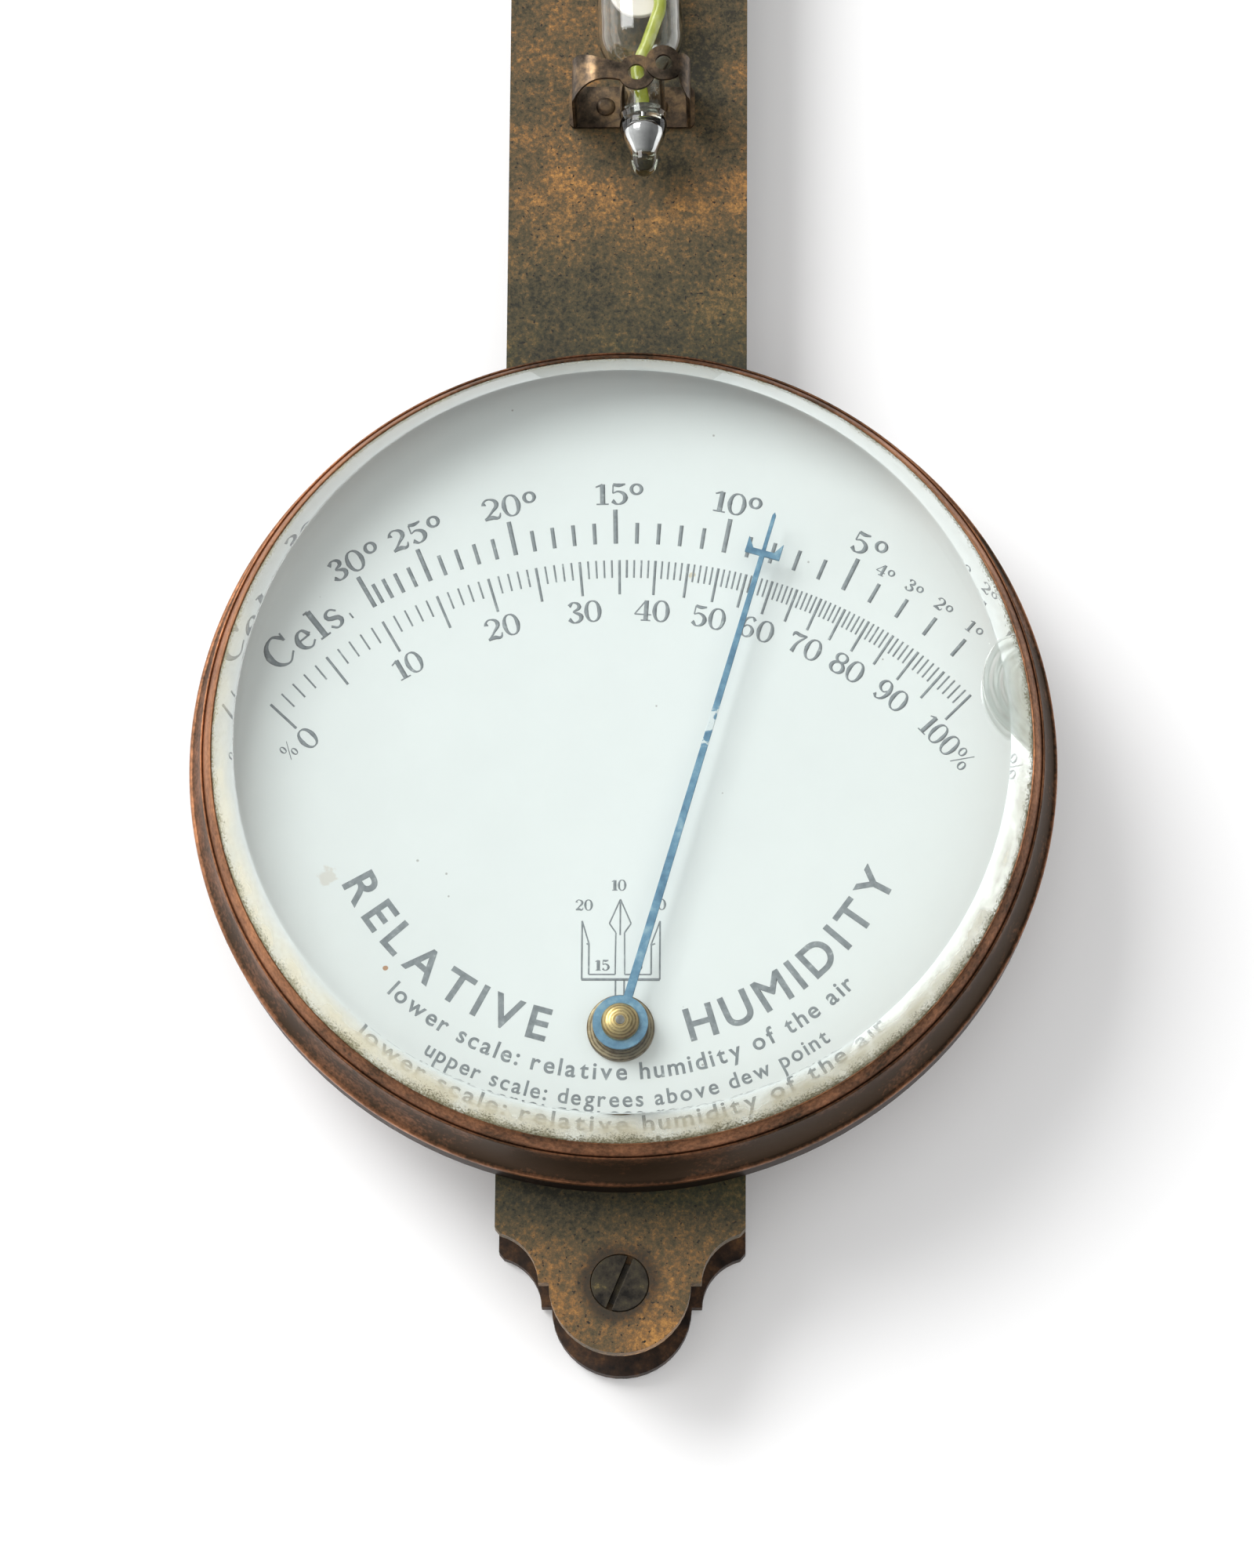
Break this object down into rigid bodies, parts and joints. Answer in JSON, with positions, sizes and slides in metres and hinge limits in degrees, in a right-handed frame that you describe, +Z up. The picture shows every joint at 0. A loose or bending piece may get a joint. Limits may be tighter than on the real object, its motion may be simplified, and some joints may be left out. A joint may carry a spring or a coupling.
{
  "type": "dial hygrometer",
  "caption": "Wall-hung brass hair hygrometer: round glazed dial low on a long narrow double plate, with a glass thermometer clipped above it.",
  "frame": {"origin": "middle of the hanging hole, on the back face of the rear plate, which lies against the wall", "axes": "+Z up along the plates, +X to the right as seen from the front, the dial looks along -Y"},
  "size_m": [0.1014, 0.0299, 0.2603],
  "materials": {
    "patinated_brass": "lacquered brass with a dark brown speckled patina",
    "aged_brass": "turned, tarnished",
    "dark_screw": "dark, aged slotted head",
    "bronzed_case": "bronzed, satin",
    "white_dial": "white enamel paint, printed in grey",
    "copper_bronzed_bezel": "copper-toned bronzing, worn bright on the ridges",
    "clear_glass": "clear, polished",
    "steel": "turned",
    "blued_steel": "heat-blued",
    "brass": "turned, bright",
    "hair": "degreased hair, straight",
    "opal_glass": "milk-white opal glass",
    "capillary_glass": "clear with a yellow-green back",
    "mercury": "liquid metal",
    "clip_brass": "bent sheet, dark patina"
  },
  "bodies": {
    "instrument": {"rear_plate": "patinated_brass", "front_plate": "patinated_brass", "lower_pillar": "aged_brass", "upper_pillar": "aged_brass", "lower_front_screw": "dark_screw", "upper_front_screw": "dark_screw", "rear_plate_screws": "dark_screw", "case_pan": "bronzed_case", "case_screws": "aged_brass", "dial_seat_ring": "aged_brass", "dial_plate": "white_dial", "bezel": "copper_bronzed_bezel", "dial_glass": "clear_glass", "glass_split_ring": "copper_bronzed_bezel", "front_bush": "aged_brass", "rear_bush": "aged_brass", "adjuster_yoke": "aged_brass", "yoke_screws": "steel", "thermometer_jacket": "clear_glass", "thermometer_scale": "opal_glass", "thermometer_capillary": "capillary_glass", "thermometer_bulb": "clear_glass", "mercury": "mercury", "lower_clip": "clip_brass", "lower_clip_rivets": "clip_brass", "upper_clip": "clip_brass", "upper_clip_rivets": "clip_brass"},
    "pointer_work": {"arbor": "steel", "pointer": "blued_steel", "pointer_collet": "brass", "pointer_cap": "brass", "hair_pulley": "brass", "hub_set_screw": "steel", "weight_arm": "steel", "counterweight": "brass"},
    "adjusting_wheel": {"adjusting_nut": "brass"},
    "hair_hanger": {"adjusting_rod": "steel", "hair_clamp": "brass", "hair_clamp_screw": "steel", "hair_bundle": "hair"}
  },
  "joints": [
    {"name": "pointer_turn", "type": "hinge", "parent": "instrument", "child": "pointer_work", "pos_m": [0, -0.00735, -0.2183], "axis": [0, 1, 0], "range_deg": [-61, 29]},
    {"name": "nut_turn", "type": "hinge", "parent": "instrument", "child": "adjusting_wheel", "pos_m": [0.00315, -0.00735, -0.0281], "axis": [0, 0, 1], "range_deg": [-1080, 1080]},
    {"name": "hanger_slide", "type": "slide", "parent": "instrument", "child": "hair_hanger", "axis": [0, 0, 1], "range_m": [-0.00151, 0.00151]}
  ],
  "couplings": [
    {"joint": "hanger_slide", "follows": "nut_turn", "m_per_rad": -0.000079577}
  ]
}
